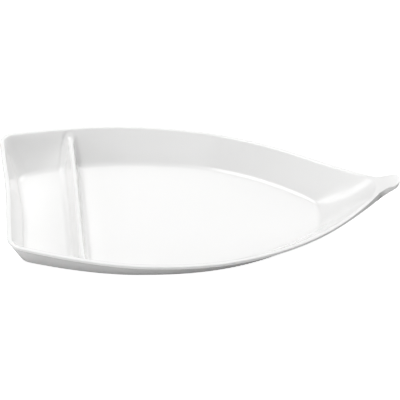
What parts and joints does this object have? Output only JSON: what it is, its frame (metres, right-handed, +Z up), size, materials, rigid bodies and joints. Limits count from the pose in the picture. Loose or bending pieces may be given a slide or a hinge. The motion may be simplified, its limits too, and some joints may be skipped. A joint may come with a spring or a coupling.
{
  "type": "chip and dip server",
  "caption": "Boat-shaped white serving dish with a flat transom, a cross divider that parts a small dip well from a large chip well, and a flat tab at the raised bow.",
  "frame": {"origin": "on the surface the dish stands on, under the middle of its length and width", "axes": "+X from the transom to the bow, +Z up, +Y to the dish's port side; the XZ plane is its plane of symmetry"},
  "size_m": [0.4, 0.214, 0.057],
  "materials": {
    "dish": "high gloss white melamine",
    "foot": "white melamine, slightly dulled where it stands"
  },
  "bodies": {
    "root": {"hull": "dish", "bow_tab": "dish", "divider": "dish", "foot_ring": "foot"}
  },
  "joints": []
}
